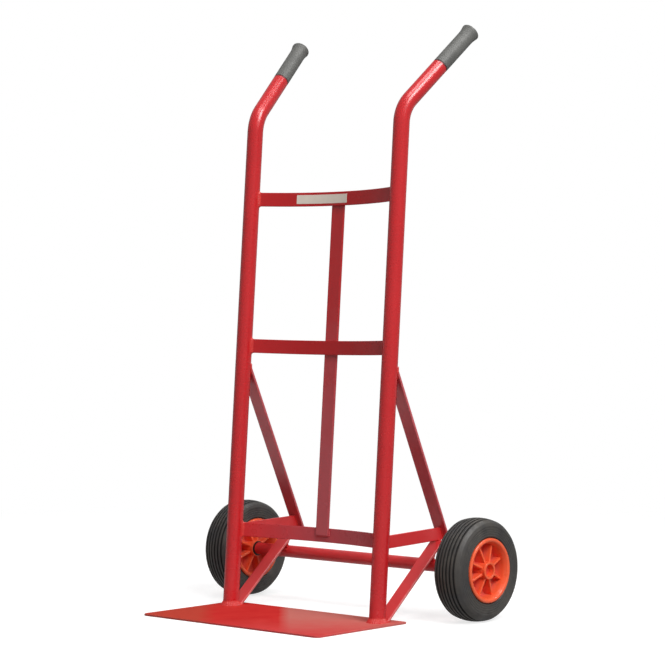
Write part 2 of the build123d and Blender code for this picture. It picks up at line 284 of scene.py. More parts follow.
def lathe(bm, profile, matrix, segments):
    """Turns a closed profile of (along, radius) points about the Z axis of a matrix."""
    rings = []
    for along, radius in profile:
        count = segments if radius > 0 else 1
        rings.append([
            bm.verts.new(matrix @ Vector((radius * cos(turn), radius * sin(turn), along)))
            for turn in (2 * pi * step / count for step in range(count))
        ])
    skin(bm, rings, closed=len(rings[0]) > 1)


def path_frames(path, closed=False):
    """A (point, normal, binormal) for each point of a path, turning as little as possible."""
    frames = []
    normal = None
    for index, point in enumerate(path):
        ahead = path[(index + 1) % len(path)] if closed or index + 1 < len(path) else point
        behind = path[index - 1] if closed or index else point
        tangent = (ahead - behind).normalized()
        normal = normal or tangent.orthogonal()
        normal = (normal - tangent * normal.dot(tangent)).normalized()
        frames.append((point, normal, tangent.cross(normal)))
    return frames


def ring(bm, path_frame, radius, sides):
    """Circle of vertices square to a path."""
    point, normal, binormal = path_frame
    turns = [2 * pi * step / sides for step in range(sides)]
    return [bm.verts.new(point + (normal * cos(turn) + binormal * sin(turn)) * radius) for turn in turns]


def slab(bm, outline, matrix, depth, edge):
    """Flat piece of an outline, as deep on both sides of its plane, with rounded edges."""
    rims = [
        [bm.verts.new(matrix @ Vector((point[0], point[1], level))) for point in outline]
        for level in (-depth / 2, depth / 2)
    ]
    faces = [bm.faces.new(rim) for rim in rims]
    for index in range(len(outline)):
        after = (index + 1) % len(outline)
        faces.append(bm.faces.new((rims[0][index], rims[0][after], rims[1][after], rims[1][index])))
    bmesh.ops.recalc_face_normals(bm, faces=faces)
    edges = dict.fromkeys(line for face in faces for line in face.edges)
    bmesh.ops.bevel(
        bm,
        geom=[line for line in edges if line.calc_face_angle() > SMOOTH_ANGLE],
        offset=edge,
        segments=EDGE_SEGMENTS,
        profile=ROUND_PROFILE,
        affect="EDGES",
        clamp_overlap=True,
    )


def bead(bm, path, radius, closed):
    """Weld seam along a path, rippled as it was laid, with ends that run out if it is open."""
    length = 0
    rings = []
    for index, path_frame in enumerate(path_frames(path, closed)):
        length += (path[index] - path[index - 1]).length if index else 0
        swell = 1 + RIPPLE_DEPTH * sin(2 * pi * length / RIPPLE_PITCH)
        if not closed and index in (0, len(path) - 1):
            rings.append([bm.verts.new(path[index])])
        else:
            rings.append(ring(bm, path_frame, radius * swell, SEAM_SIDES))
    skin(bm, rings, closed)


def spread(path, step, closed):
    """The points of a path, spaced evenly at about a step."""
    corners = path + path[:1] if closed else path
    lengths = [(there - here).length for here, there in zip(corners, corners[1:])]
    count = max(2, round(sum(lengths) / step))
    points = []
    for index in range(count if closed else count + 1):
        left = sum(lengths) * index / count
        run = 0
        while run < len(lengths) - 1 and left > lengths[run]:
            left -= lengths[run]
            run += 1
        share = left / max(lengths[run], TINY)
        points.append(corners[run].lerp(corners[run + 1], min(1, share)))
    return points


def weld(bm, path, radius, closed=False):
    """Weld seam along the corners of a path."""
    bead(bm, spread(path, RIPPLE_PITCH / RIPPLE_STEPS, closed), radius, closed)


def piece(name, bm, material, body, slot, *nodes):
    """Makes a finished mesh into a piece that rides on a body and stands for CAD nodes."""
    bmesh.ops.recalc_face_normals(bm, faces=bm.faces)
    mesh = bpy.data.meshes.new(name)
    bm.to_mesh(mesh)
    bm.free()
    mesh.shade_smooth()
    mesh.set_sharp_from_angle(angle=SMOOTH_ANGLE)
    mesh.materials.append(material)
    made = bpy.data.objects.new(name, mesh)
    bpy.context.scene.collection.objects.link(made)
    made.modifiers.new("flat_face_normals", "WEIGHTED_NORMAL").keep_sharp = True
    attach(made, body)
    if nodes:
        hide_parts(*nodes)
    return made


# Materials

NOISE_LOW = 0.3
NOISE_HIGH = 0.7
PATCH_DETAIL = 3.0
WIPE_FINENESS = 3
TINT_SCALE = 30.0
GLOSS_END = 0.85


def shader(name):
    """New material with its node tree and its Principled shader."""
    made = bpy.data.materials.new(name)
    made.use_nodes = True
    return made, made.node_tree, made.node_tree.nodes["Principled BSDF"]


def noise(tree, scale, detail):
    """Noise over a piece's own coordinates, as a value around one half."""
    places = tree.nodes.new("ShaderNodeTexCoord")
    grain = tree.nodes.new("ShaderNodeTexNoise")
    grain.inputs["Scale"].default_value = scale
    grain.inputs["Detail"].default_value = detail
    tree.links.new(places.outputs["Object"], grain.inputs["Vector"])
    return grain.outputs["Fac"]


def spread_value(tree, value, low, high):
    """A noise value stretched to run from low to high."""
    reach = tree.nodes.new("ShaderNodeMapRange")
    reach.inputs["From Min"].default_value = NOISE_LOW
    reach.inputs["From Max"].default_value = NOISE_HIGH
    reach.inputs["To Min"].default_value = low
    reach.inputs["To Max"].default_value = high
    tree.links.new(value, reach.inputs["Value"])
    return reach.outputs["Result"]


def blend_colours(tree, value, first, second):
    """Colour that runs from the first to the second as a value runs from 0 to 1."""
    mix = tree.nodes.new("ShaderNodeMix")
    mix.data_type = "RGBA"
    mix.inputs["A"].default_value = (*first, 1)
    mix.inputs["B"].default_value = (*second, 1)
    tree.links.new(value, mix.inputs["Factor"])
    return mix.outputs["Result"]


def bumps(tree, principled, *layers):
    """Bump from layers of (value, height in metres)."""
    normal = None
    for value, height in layers:
        bump = tree.nodes.new("ShaderNodeBump")
        bump.inputs["Strength"].default_value = 1.0
        bump.inputs["Distance"].default_value = height
        tree.links.new(value, bump.inputs["Height"])
        if normal:
            tree.links.new(normal, bump.inputs["Normal"])
        normal = bump.outputs["Normal"]
    tree.links.new(normal, principled.inputs["Normal"])


def gloss(tree, facing, grazing):
    """Value that runs from one level of gloss, seen square on, to another at a grazing angle."""
    weight = tree.nodes.new("ShaderNodeLayerWeight")
    reach = tree.nodes.new("ShaderNodeMapRange")
    reach.inputs["From Max"].default_value = GLOSS_END
    reach.inputs["To Min"].default_value = facing
    reach.inputs["To Max"].default_value = grazing
    tree.links.new(weight.outputs["Facing"], reach.inputs["Value"])
    return reach.outputs["Result"]


def tinted(tree, colour, tint, way, start, end, ragged):
    """Colour that turns to a second colour along a way, from a start to an end that are ragged by a length; used
    for painted shade and painted reflections as well as plain shifts of tone.
    """
    places = tree.nodes.new("ShaderNodeTexCoord")
    along = tree.nodes.new("ShaderNodeVectorMath")
    along.operation = "DOT_PRODUCT"
    along.inputs[1].default_value = way
    tree.links.new(places.outputs["Object"], along.inputs[0])
    shift = tree.nodes.new("ShaderNodeMath")
    shift.operation = "ADD"
    tree.links.new(along.outputs["Value"], shift.inputs[0])
    wander = spread_value(tree, noise(tree, TINT_SCALE, PATCH_DETAIL), -ragged, ragged)
    tree.links.new(wander, shift.inputs[1])
    reach = tree.nodes.new("ShaderNodeMapRange")
    reach.inputs["From Min"].default_value = start
    reach.inputs["From Max"].default_value = end
    tree.links.new(shift.outputs[0], reach.inputs["Value"])
    mix = tree.nodes.new("ShaderNodeMix")
    mix.data_type = "RGBA"
    mix.inputs["B"].default_value = (*tint, 1)
    tree.links.new(reach.outputs["Result"], mix.inputs["Factor"])
    tree.links.new(colour, mix.inputs["A"])
    return mix.outputs["Result"]


def surface(name, colours, roughness, layers, patch_scale=14.0, metallic=0.0, shine=(0.5, 0.5), tints=()):
    """Material with patchy colour and roughness, and layers of (scale, detail, height) bump.

    shine is the gloss seen square on and at a grazing angle. Each entry of the last argument is a colour with the
    way, the start, the end and the raggedness of its shift, some of which are painted shade or painted
    reflections.
    """
    made, tree, principled = shader(name)
    patches = noise(tree, patch_scale, PATCH_DETAIL)
    tone = spread_value(tree, patches, 0.0, 1.0)
    colour = blend_colours(tree, tone, *colours)
    for tint in tints:
        colour = tinted(tree, colour, *tint)
    tree.links.new(colour, principled.inputs["Base Color"])
    wipe = noise(tree, WIPE_FINENESS * patch_scale, PATCH_DETAIL)
    tree.links.new(spread_value(tree, wipe, *roughness), principled.inputs["Roughness"])
    bumps(tree, principled, *((noise(tree, scale, detail), height) for scale, detail, height in layers))
    if shine[0] == shine[1]:
        principled.inputs["Specular IOR Level"].default_value = shine[0]
    else:
        tree.links.new(gloss(tree, *shine), principled.inputs["Specular IOR Level"])
    principled.inputs["Metallic"].default_value = metallic
    return made


PAINT = surface(
    "red_powder_coat",
    ((0.545, 0.013, 0.017), (0.580, 0.016, 0.020)),
    (0.24, 0.30),
    ((18.0, 1.0, 0.000006),),
    shine=(0.40, 0.0),
)
# Darker copy of the frame's red for the upper and middle crossbars: painted shade
BAR_PAINT = surface(
    "red_powder_coat_bars_painted_shade",
    ((0.500, 0.012, 0.015), (0.540, 0.015, 0.018)),
    (0.20, 0.28),
    ((18.0, 1.0, 0.00001),),
    shine=(0.26, 0.0),
)
# Paler, oranger copy of the red on the welds: a painted sheen
WELD_PAINT = surface(
    "red_powder_coat_welds_painted_sheen",
    ((0.560, 0.022, 0.022), (0.620, 0.040, 0.034)),
    (0.36, 0.50),
    ((60.0, 2.0, 0.00002),),
    patch_scale=60.0,
    shine=(0.34, 0.05),
)
# Pale pink for the narrow side faces of the lower braces: a painted highlight where their edges catch the light
EDGE_HIGHLIGHT_PAINT = surface(
    "red_powder_coat_painted_edge_highlight",
    ((0.640, 0.100, 0.100), (0.720, 0.190, 0.180)),
    (0.36, 0.50),
    ((60.0, 2.0, 0.00002),),
    patch_scale=50.0,
    shine=(0.40, 0.10),
)
# Dark red-brown for the end of each stile's tube: a painted shadow in the gap next to the grip
SHADOW_BAND_PAINT = surface(
    "red_powder_coat_painted_shadow",
    ((0.060, 0.006, 0.008), (0.120, 0.010, 0.012)),
    (0.45, 0.65),
    ((60.0, 2.0, 0.00003),),
    patch_scale=60.0,
    shine=(0.30, 0.05),
)
# Pinker red towards the foot of the centre strip
STRIP_PAINT = surface(
    "red_powder_coat_pinker_foot",
    ((0.545, 0.013, 0.017), (0.580, 0.016, 0.020)),
    (0.20, 0.28),
    ((18.0, 1.0, 0.00002),),
    shine=(0.40, 0.0),
    tints=(((0.52, 0.085, 0.100), (0, 0, -1), -0.62, -0.30, 0.03),),
)
# Pinker, duller red that sets in towards the middle of the lower crossbar and covers its right part
LOW_BAR_PAINT = surface(
    "red_powder_coat_pinker_right_part",
    ((0.545, 0.013, 0.017), (0.580, 0.016, 0.020)),
    (0.24, 0.34),
    ((18.0, 1.0, 0.00002),),
    shine=(0.34, 0.0),
    tints=(((0.52, 0.070, 0.086), (1, 0, 0), -0.17, -0.02, 0.006),),
)
# Paler, pinker red for the upper braces: a painted reflection of the floor on their faces
BRACE_PAINT = surface(
    "red_powder_coat_painted_reflection",
    ((0.520, 0.060, 0.074), (0.570, 0.076, 0.093)),
    (0.28, 0.40),
    ((18.0, 1.0, 0.00003),),
    shine=(0.90, 0.0),
)
# Brighter copy of the red for the side members, lower braces and axle tube: painted light
LIT_LOW_PAINT = surface(
    "red_powder_coat_painted_light",
    ((0.650, 0.032, 0.036), (0.700, 0.044, 0.048)),
    (0.28, 0.40),
    ((18.0, 1.0, 0.00003),),
    shine=(0.40, 0.05),
)
# The toe plate is lighter than the frame, as painted light: a pale pink painted reflection over its right part, a
# brighter red towards the front corner nearest the camera, and a browner painted reflection at its left end
PLATE_RIGHT = (0.732, 0.682, 0)
PLATE_LEFT = (-0.732, -0.682, 0)
PLATE_NEAR = (0.665, -0.747, 0)
PLATE_PAINT = surface(
    "red_powder_coat_plate_painted_light_and_sheen",
    ((0.600, 0.030, 0.028), (0.650, 0.042, 0.036)),
    (0.36, 0.56),
    ((420.0, 2.0, 0.00001), (18.0, 2.0, 0.0001)),
    shine=(0.34, 0.0),
    tints=(
        ((0.590, 0.175, 0.148), PLATE_RIGHT, -0.046, -0.024, 0.0015),
        ((0.660, 0.070, 0.068), PLATE_NEAR, 0.06, 0.30, 0.02),
        ((0.540, 0.066, 0.044), PLATE_LEFT, 0.165, 0.205, 0.006),
    ),
)
RUBBER = surface(
    "tyre_rubber",
    ((0.024, 0.023, 0.024), (0.058, 0.051, 0.043)),
    (0.50, 0.70),
    ((900.0, 3.0, 0.00006), (60.0, 3.0, 0.0001)),
    patch_scale=22.0,
    shine=(0.40, 0.10),
)
# Darker rubber for the groove faces of the tread: painted shade in the grooves, with some dirt
GROOVE_RUBBER = surface(
    "tyre_rubber_groove_shade_and_dirt",
    ((0.010, 0.010, 0.010), (0.017, 0.016, 0.015)),
    (0.75, 0.90),
    ((900.0, 3.0, 0.00004),),
    patch_scale=22.0,
    shine=(0.15, 0.05),
)

# The rims are bright orange at both flanges, and duller and pinker in the pockets beside the web, as painted
# shade.
RIM_ORANGE = (0.95, 0.132, 0.048)
POCKET_HALF = 0.008
POCKET_FADE = 0.012
POCKET_RAGGED = 0.001
RIM_PLASTIC = {}
for side_name, _ in SIDES:
    unshaded_flanges = []
    for way in (-1, 1):
        unshaded_start = way * WHEEL_PLACES[f"{side_name}_wheel"].x + POCKET_HALF
        unshaded_flanges.append((RIM_ORANGE, (way, 0, 0), unshaded_start, unshaded_start + POCKET_FADE, POCKET_RAGGED))
    RIM_PLASTIC[side_name] = surface(
        f"orange_rim_plastic_{side_name}",
        ((0.82, 0.130, 0.090), (0.86, 0.160, 0.115)),
        (0.26, 0.36),
        ((260.0, 2.0, 0.00002), (25.0, 2.0, 0.00005)),
        patch_scale=30.0,
        shine=(0.28, 0.04),
        tints=unshaded_flanges,
    )
# Darker red than the rims for the hub plugs: painted shade in each hub's recess
CAP_PLASTIC = surface(
    "red_cap_plastic_painted_shade",
    ((0.78, 0.074, 0.050), (0.84, 0.090, 0.060)),
    (0.30, 0.42),
    ((260.0, 2.0, 0.00002),),
    patch_scale=60.0,
    shine=(0.24, 0.0),
)
VINYL = surface(
    "grey_grip_vinyl",
    ((0.118, 0.118, 0.112), (0.148, 0.148, 0.140)),
    (0.46, 0.58),
    ((500.0, 2.0, 0.00001), (70.0, 2.0, 0.00004)),
    patch_scale=40.0,
    shine=(0.16, 0.02),
)
ZINC = surface(
    "zinc_plate",
    ((0.16, 0.155, 0.145), (0.22, 0.215, 0.205)),
    (0.42, 0.58),
    ((800.0, 3.0, 0.00002),),
    patch_scale=120.0,
    metallic=1.0,
)
# Reddish near-black for the inner washers: painted shade in the gap between the axle tube and each hub
GAP_SHADE_STEEL = surface(
    "steel_painted_gap_shade",
    ((0.012, 0.006, 0.006), (0.030, 0.014, 0.013)),
    (0.45, 0.65),
    ((300.0, 2.0, 0.00003),),
    patch_scale=120.0,
    shine=(0.30, 0.10),
)
NYLON = surface(
    "natural_nylon",
    ((0.70, 0.69, 0.64), (0.78, 0.77, 0.73)),
    (0.45, 0.60),
    ((600.0, 2.0, 0.00003),),
    patch_scale=80.0,
)
LABEL_FILM = surface(
    "blank_label_film",
    ((0.80, 0.71, 0.61), (0.85, 0.76, 0.66)),
    (0.35, 0.50),
    ((300.0, 2.0, 0.00003),),
    patch_scale=60.0,
)


# Stiles: tubes with a bend, cut level at the foot

def bend_corner(side):
    """Point where the centre lines of a stile's upright and handle meet."""
    return Vector((side * HALF_SPACING, BEND_HEIGHT * tan(RAKE), BEND_HEIGHT))


def handle_way(side):
    """Direction of a handle."""
    return Vector((
        side * sin(HANDLE_SPLAY),
        cos(HANDLE_SPLAY) * sin(HANDLE_TILT),
        cos(HANDLE_SPLAY) * cos(HANDLE_TILT),
    ))


def handle_end(side):
    """End of a stile's tube, where the grip starts."""
    return bend_corner(side) + handle_way(side) * HANDLE_LENGTH


def stile_path(side):
    """Centre line of a stile from the toe plate to the end of its handle."""
    foot = Vector((side * HALF_SPACING, 0, 0)) + STILE_WAY * (TOE_HIGH.z / STILE_WAY.z)
    corner = bend_corner(side)
    turn = STILE_WAY.angle(handle_way(side))
    reach = BEND_RADIUS * tan(turn / 2)
    inwards = (handle_way(side) - STILE_WAY).normalized()
    centre = corner + inwards * (BEND_RADIUS / cos(turn / 2))
    start = (corner - STILE_WAY * reach - centre).normalized()
    end = (corner + handle_way(side) * reach - centre).normalized()
    run = [foot.lerp(centre + start * BEND_RADIUS, step / RUN_STEPS) for step in range(RUN_STEPS)]
    bend = [centre + start.slerp(end, step / BEND_STEPS) * BEND_RADIUS for step in range(BEND_STEPS + 1)]
    band = [handle_end(side) - handle_way(side) * back for back in (SHADOW_BAND_START, TUBE_END_EDGE)]
    return run + bend + band


for side_name, side in SIDES:
    bm = bmesh.new()
    frames = path_frames(stile_path(side))
    outside = [ring(bm, path_frame, TUBE_RADIUS, TUBE_SIDES) for path_frame in frames]
    inside = [ring(bm, path_frame, TUBE_BORE, TUBE_SIDES) for path_frame in frames]
    for vertex in outside[0] + inside[0]:
        vertex.co += STILE_WAY * ((TOE_HIGH.z - vertex.co.z) / STILE_WAY.z)
    point, normal, binormal = frames[-1]
    lips = []
    for turn in quarter_turns(LIP_STEPS)[1:]:
        rise = handle_way(side) * (TUBE_END_EDGE * sin(turn))
        inset = TUBE_END_EDGE * (1 - cos(turn))
        lips.append(ring(bm, (point + rise, normal, binormal), TUBE_RADIUS - inset, TUBE_SIDES))
    skin(bm, outside + lips + inside[::-1], closed=True)
    # The faces nearest the tube's end take the dark paint, a painted shadow next to the grip.
    shadow_band_level = (handle_end(side) - handle_way(side) * SHADOW_BAND_START).dot(handle_way(side))
    for face in bm.faces:
        face.material_index = int(face.calc_center_median().dot(handle_way(side)) > shadow_band_level)
    stile = piece(f"{side_name}_stile_tube", bm, PAINT, "frame", "frame_paint", f"{side_name}_stile")
    stile.data.materials.append(SHADOW_BAND_PAINT)


# Grips

def grip_profile():
    """Section of a grip as (along, radius) points, from the bottom of its bore to the top of its dome."""
    bottom = GRIP_LENGTH - GRIP_END_WALL
    profile = [(bottom, 0), (bottom, GRIP_BORE), (GRIP_MOUTH[0][0], GRIP_BORE)]
    profile += [(along, GRIP_RADIUS - inset) for along, inset in GRIP_MOUTH]
    flare_start = GRIP_LENGTH - GRIP_FLARE_LENGTH
    profile += [(flare_start * step / GRIP_STEPS, GRIP_RADIUS) for step in range(1, GRIP_STEPS + 1)]
    lip_start = GRIP_LENGTH - GRIP_DOME - GRIP_LIP
    flare_rise = GRIP_FLARE_RADIUS - GRIP_RADIUS
    for step in range(1, FLARE_STEPS + 1):
        share = step / FLARE_STEPS
        profile.append((flare_start + (lip_start - flare_start) * share, GRIP_RADIUS + flare_rise * share**2))
    edge = GRIP_LIP / 2
    for turn in quarter_turns(GRIP_STEPS)[1:]:
        profile.append((lip_start + edge + edge * sin(turn), GRIP_FLARE_RADIUS - edge * (1 - cos(turn))))
    dome_radius = (GRIP_FLARE_RADIUS**2 + GRIP_DOME**2) / (2 * GRIP_DOME)
    for step in range(1, GRIP_STEPS + 1):
        radius = (GRIP_FLARE_RADIUS - edge) * (1 - step / GRIP_STEPS)
        drop = dome_radius - sqrt(dome_radius**2 - radius**2)
        profile.append((GRIP_LENGTH - drop, radius))
    return profile


for side_name, side in SIDES:
    bm = bmesh.new()
    handle = handle_way(side)
    matrix = place(handle_end(side), handle.cross(Vector((0, 0, 1))), handle)
    lathe(bm, grip_profile(), matrix, SMALL_SEGMENTS)
    piece(f"{side_name}_grip_sleeve", bm, VINYL, "frame", "grip_vinyl", f"{side_name}_grip")


# Cross bars and the strip down their middle

def bar_arc(bow):
    """Radius of a bar's bow, its half angle and the Y of its centre in the bar's level plane."""
    radius = (HALF_SPACING**2 + bow**2) / (2 * bow)
    return radius, asin(HALF_SPACING / radius), bow - radius


def bar_point(bow, radius, turn):
    """Point of a bar's level plane at a radius, turned from the middle of the bar."""
    return Vector((radius * sin(turn), bar_arc(bow)[2] + radius * cos(turn)))


for bar_name, (height, bow) in BARS.items():
    bm = bmesh.new()
    radius, half_angle, _ = bar_arc(bow)
    end_angle = half_angle - (TUBE_RADIUS - WALL_BITE) / radius
    turns = [end_angle * (2 * step / BAR_STEPS - 1) for step in range(BAR_STEPS + 1)]
    outline = [bar_point(bow, radius + BAR_THICKNESS / 2, turn) for turn in turns]
    outline += [bar_point(bow, radius - BAR_THICKNESS / 2, turn) for turn in reversed(turns)]
    slab(bm, outline, level_plane(height), BAR_HEIGHT, BAR_EDGE)
    coat = LOW_BAR_PAINT if bar_name == "lower" else BAR_PAINT
    piece(f"{bar_name}_crossbar_flat", bm, coat, "frame", "frame_paint", f"{bar_name}_crossbar")

strip_foot = BARS["lower"][0] / cos(RAKE) - BAR_HEIGHT / 2 + STRIP_FOOT_MARGIN
strip_top = BARS["upper"][0] / cos(RAKE) + BAR_HEIGHT / 2 - STRIP_MARGIN
bm = bmesh.new()
strip_middle = level_plane(0) @ Vector((0, STRIP_FRONT + STRIP_THICKNESS / 2, (strip_foot + strip_top) / 2))
strip_outline = [
    (across * STRIP_WIDTH / 2, along * (strip_top - strip_foot) / 2)
    for across, along in ((-1, -1), (1, -1), (1, 1), (-1, 1))
]
strip_plane = place(strip_middle, (1, 0, 0), (0, -cos(RAKE), sin(RAKE)))
slab(bm, strip_outline, strip_plane, STRIP_THICKNESS, STRAP_EDGE)
piece("centre_strip_flat", bm, STRIP_PAINT, "frame", "frame_paint", "centre_strip")


# Toe plate

bm = bmesh.new()
toe_outline = round_corners((
    (TOE_LOW.x, TOE_LOW.y, TOE_FRONT_RADIUS),
    (TOE_HIGH.x, TOE_LOW.y, TOE_FRONT_RADIUS),
    (TOE_HIGH.x, TOE_HIGH.y, TOE_REAR_RADIUS),
    (TOE_LOW.x, TOE_HIGH.y, TOE_REAR_RADIUS),
), steps=PLATE_CORNER_STEPS)
toe_thickness = TOE_HIGH.z - TOE_LOW.z
slab(bm, toe_outline, place((0, 0, toe_thickness / 2), (1, 0, 0), (0, 0, 1)), toe_thickness, PLATE_EDGE)
piece("toe_plate_sheet", bm, PLATE_PAINT, "frame", "frame_paint", "toe_plate")


# Side frames, as outlines in the side planes with X to the rear and Y up

member_slope = MEMBER_RISE / MEMBER_REACH
member_bottom = MEMBER_LEVEL - MEMBER_HEIGHT / 2
brace_head = Vector((UPPER_BRACE_HEIGHT * tan(RAKE) + TUBE_RADIUS / cos(RAKE), UPPER_BRACE_HEIGHT))
brace_foot = Vector((MEMBER_REACH, member_bottom + MEMBER_RISE))
brace_rise = (brace_head - brace_foot).normalized()
brace_step = Vector((STRAP_THICKNESS / brace_rise.y, 0))
brace_lean = brace_rise.x / brace_rise.y
to_centre_line = (brace_foot.y * tan(RAKE) - brace_foot.x) / (brace_rise.x - brace_rise.y * tan(RAKE))
brace_end = brace_foot + brace_rise * to_centre_line
member_end = brace_foot + Vector((brace_lean, 1)) * (MEMBER_HEIGHT / (1 - member_slope * brace_lean))
lower_foot = Vector((LOWER_BRACE_FOOT, TOE_HIGH.z))
foot_to_axle = Vector((AXLE.y, AXLE.z)) - lower_foot
lower_lift = asin((AXLE_TUBE_RADIUS + HANGER_GAP) / foot_to_axle.length)
lower_angle = atan2(foot_to_axle.y, foot_to_axle.x) + lower_lift
lower_rise = Vector((cos(lower_angle), sin(lower_angle)))
lower_step = Vector((STRAP_THICKNESS / lower_rise.y, 0))
hanger_back = AXLE.y - HANGER_LEAD + STRAP_THICKNESS / 2
hanger_front = hanger_back - STRAP_THICKNESS


def member_edge(along, above):
    """Point of a side member, at a height above its lower edge."""
    return Vector((along, member_bottom + member_slope * along + above))


def under_member(start):
    """Point where a line along the lower brace meets the underside of the side member."""
    headroom = member_edge(start.x, 0).y - start.y
    return start + lower_rise * (headroom / (lower_rise.y - member_slope * lower_rise.x))


def brace_rear(along):
    """Point of the rear face of the lower brace."""
    return lower_foot + lower_rise * ((along - lower_foot.x) / lower_rise.x)


def tube_top(along):
    """Height of the upper side of the axle tube."""
    return AXLE.z + sqrt(AXLE_TUBE_RADIUS**2 - (along - AXLE.y)**2)


def stile_wall(height):
    """Distance to the rear of a stile's outside, a little within its wall."""
    return height * tan(RAKE) + (TUBE_RADIUS - WALL_BITE) / cos(RAKE)


member_outline = (
    member_edge(stile_wall(member_bottom), 0),
    brace_foot,
    member_end,
    member_edge(stile_wall(member_bottom + MEMBER_HEIGHT), MEMBER_HEIGHT),
)
upper_brace_outline = (brace_foot, brace_foot + brace_step, brace_end + brace_step, brace_end)
lower_head = under_member(lower_foot)
lower_front = under_member(lower_foot - lower_step)
lower_brace_outline = (lower_foot, lower_head, lower_front, lower_foot - lower_step)
hanger_outline = (
    (hanger_front, tube_top(hanger_front) - WALL_BITE),
    (hanger_back, tube_top(hanger_back) - WALL_BITE),
    brace_rear(hanger_back),
    brace_rear(hanger_front),
)

for side_name, side in SIDES:
    for node, outline, depth, coat in (
        ("side_member", member_outline, MEMBER_THICKNESS, LIT_LOW_PAINT),
        ("upper_brace", upper_brace_outline, STRAP_WIDTH, BRACE_PAINT),
        ("lower_brace", lower_brace_outline, STRAP_WIDTH, LIT_LOW_PAINT),
        ("axle_hanger", hanger_outline, STRAP_WIDTH, PAINT),
    ):
        bm = bmesh.new()
        slab(bm, outline, side_plane(side), depth, STRAP_EDGE)
        # The narrow side faces of the lower brace, square to X, take the pale paint: a painted highlight along its
        # edges.
        if node == "lower_brace":
            bm.normal_update()
            for face in bm.faces:
                face.material_index = int(abs(face.normal.x) > EDGE_SLOPE)
        flat = piece(f"{side_name}_{node}_flat", bm, coat, "frame", "frame_paint", f"{side_name}_{node}")
        if node == "lower_brace":
            flat.data.materials.append(EDGE_HIGHLIGHT_PAINT)


# Axle tube

axle_low, axle_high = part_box("axle_tube")
bm = bmesh.new()
axle_outline = round_corners((
    (axle_low.x, AXLE_TUBE_BORE, TUBE_END_EDGE),
    (axle_low.x, AXLE_TUBE_RADIUS, TUBE_END_EDGE),
    (axle_high.x, AXLE_TUBE_RADIUS, TUBE_END_EDGE),
    (axle_high.x, AXLE_TUBE_BORE, TUBE_END_EDGE),
))
lathe(bm, axle_outline, place((0, AXLE.y, AXLE.z), (0, 1, 0), (1, 0, 0)), TUBE_SIDES)
piece("axle_tube_sleeve", bm, LIT_LOW_PAINT, "frame", "frame_paint", "axle_tube")


# Weld seams

def stile_meeting(point, way, side):
    """Point where a line leaves the outside of a stile."""
    start = point - Vector((side * HALF_SPACING, 0, 0))
    start -= STILE_WAY * start.dot(STILE_WAY)
    across = way - STILE_WAY * way.dot(STILE_WAY)
    slope = start.dot(across) / across.length_squared
    left = (start.length_squared - TUBE_RADIUS**2) / across.length_squared
    return point + way * (sqrt(max(0, slope**2 - left)) - slope)


def stile_seam(bm, side, centre, way, first, second, radius):
    """Seam round a bar of half sides first and second that meets a stile along a way."""
    outline = [
        centre + first + second,
        centre - first + second,
        centre - first - second,
        centre + first - second,
    ]
    corners = spread(outline, RIPPLE_PITCH / OUTLINE_RIPPLE_STEPS, closed=True)
    weld(bm, [stile_meeting(corner, way, side) for corner in corners], radius, closed=True)


def stile_fillet(bm, side, centre, way, first, second):
    """Hollow fillet of weld round a bar of half sides first and second that meets a stile along a way."""
    wide = first.length
    tall = second.length
    corners = [(x * wide, y * tall, BAR_FILLET_CORNER) for x, y in ((1, 1), (-1, 1), (-1, -1), (1, -1))]
    outline = spread(round_corners(corners), RIPPLE_PITCH / RIPPLE_STEPS, closed=True)
    ripples = round(len(outline) / RIPPLE_STEPS)
    turns = quarter_turns(FILLET_STEPS)
    rings = []
    for index, spot in enumerate(outline):
        along = (outline[(index + 1) % len(outline)] - outline[index - 1]).normalized()
        leg = BAR_FILLET * (1 + RIPPLE_DEPTH * sin(2 * pi * ripples * index / len(outline)))
        section = [(-WALL_BITE, -WALL_BITE)]
        section += [(leg * (1 - cos(turn)), leg * (1 - sin(turn))) for turn in turns]
        loop = []
        for out, rise in section:
            flat = spot + Vector((along.y, -along.x)) * out
            point = centre + first * (flat.x / wide) + second * (flat.y / tall)
            loop.append(bm.verts.new(stile_meeting(point, way, side) + way * rise))
        rings.append(loop)
    skin(bm, rings, closed=True)


def foot_seam(bm, side):
    """Hollow fillet of weld round the foot of a stile."""
    foot = Vector((side * HALF_SPACING, TOE_HIGH.z * tan(RAKE), TOE_HIGH.z))
    ripples = round(2 * pi * TUBE_RADIUS / RIPPLE_PITCH)
    sides = FOOT_RIPPLE_STEPS * ripples
    profile = [(TUBE_RADIUS - WALL_BITE, 0, 0), (TUBE_RADIUS - WALL_BITE, 0, 1)]
    for turn in quarter_turns(FOOT_FILLET_STEPS):
        profile.insert(1, (TUBE_RADIUS, 1 - sin(turn), 1 - cos(turn)))
    rings = []
    for radius, reach, rise in profile:
        loop = []
        for step in range(sides):
            turn = 2 * pi * step / sides
            swell = 1 + RIPPLE_DEPTH * sin(turn * ripples)
            out = radius + FOOT_WELD_REACH * reach * swell
            height = FOOT_WELD_HEIGHT * rise * swell
            lean = Vector((0, height * tan(RAKE), height))
            around = Vector((out * cos(turn), out * sin(turn) / cos(RAKE), 0))
            loop.append(bm.verts.new(foot + lean + around))
        rings.append(loop)
    skin(bm, rings, closed=True)


foot_seams = bmesh.new()
for _, side in SIDES:
    foot_seam(foot_seams, side)
    corners = []
    for back, out in ((0, -1), (0, 1), (1, 1), (1, -1)):
        spot = lower_foot - lower_step * back
        corners.append(Vector((side * HALF_SPACING + out * STRAP_WIDTH / 2, spot.x, spot.y)))
    weld(foot_seams, corners, STRAP_WELD, closed=True)
piece("foot_welds", foot_seams, WELD_PAINT, "frame", "frame_paint")

